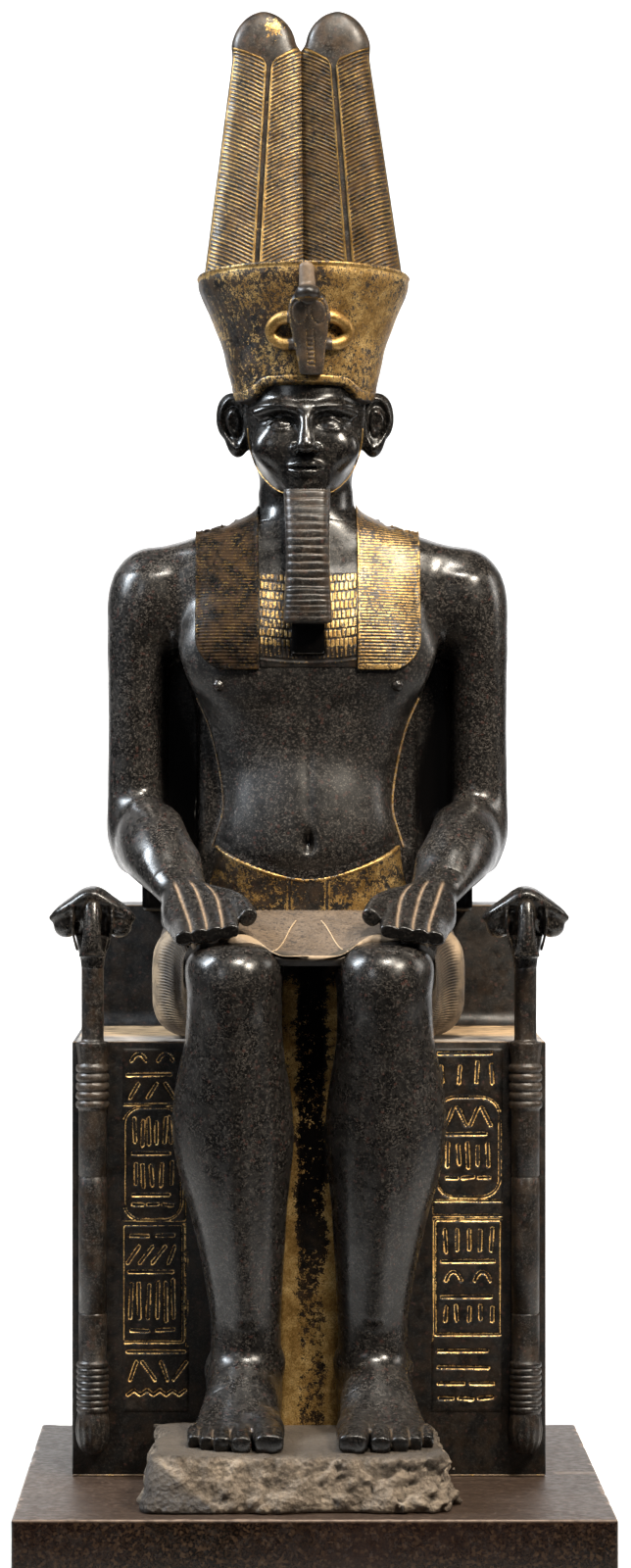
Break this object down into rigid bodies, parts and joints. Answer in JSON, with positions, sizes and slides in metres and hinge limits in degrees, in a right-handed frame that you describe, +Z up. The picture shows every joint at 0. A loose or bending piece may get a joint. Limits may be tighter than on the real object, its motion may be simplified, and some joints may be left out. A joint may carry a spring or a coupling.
{
  "type": "amun-ra statue",
  "caption": "Seated stone figure of Amun-Ra with tall plumed crown and plaited beard, on a cubic throne flanked by ram-headed standards, standing on a rectangular granite plinth.",
  "frame": {"origin": "centre of the plinth's underside, on the floor it stands on", "axes": "+Z up; the figure faces -Y; +X is the viewer's right when looking at the front (the figure's own left side)"},
  "size_m": [0.775, 0.875, 2.1343],
  "materials": {
    "statue": "near-black granodiorite with grey and pinkish grains, hand polished, with worn gold leaf on the crown, plumes, collar, belt and panel, matte taupe on the kilt and rough grey-brown on the block under the feet",
    "plinth": "dark brown-red granite, honed top, polished front"
  },
  "bodies": {
    "root": {"statue": "statue", "plinth": "plinth"}
  },
  "joints": []
}
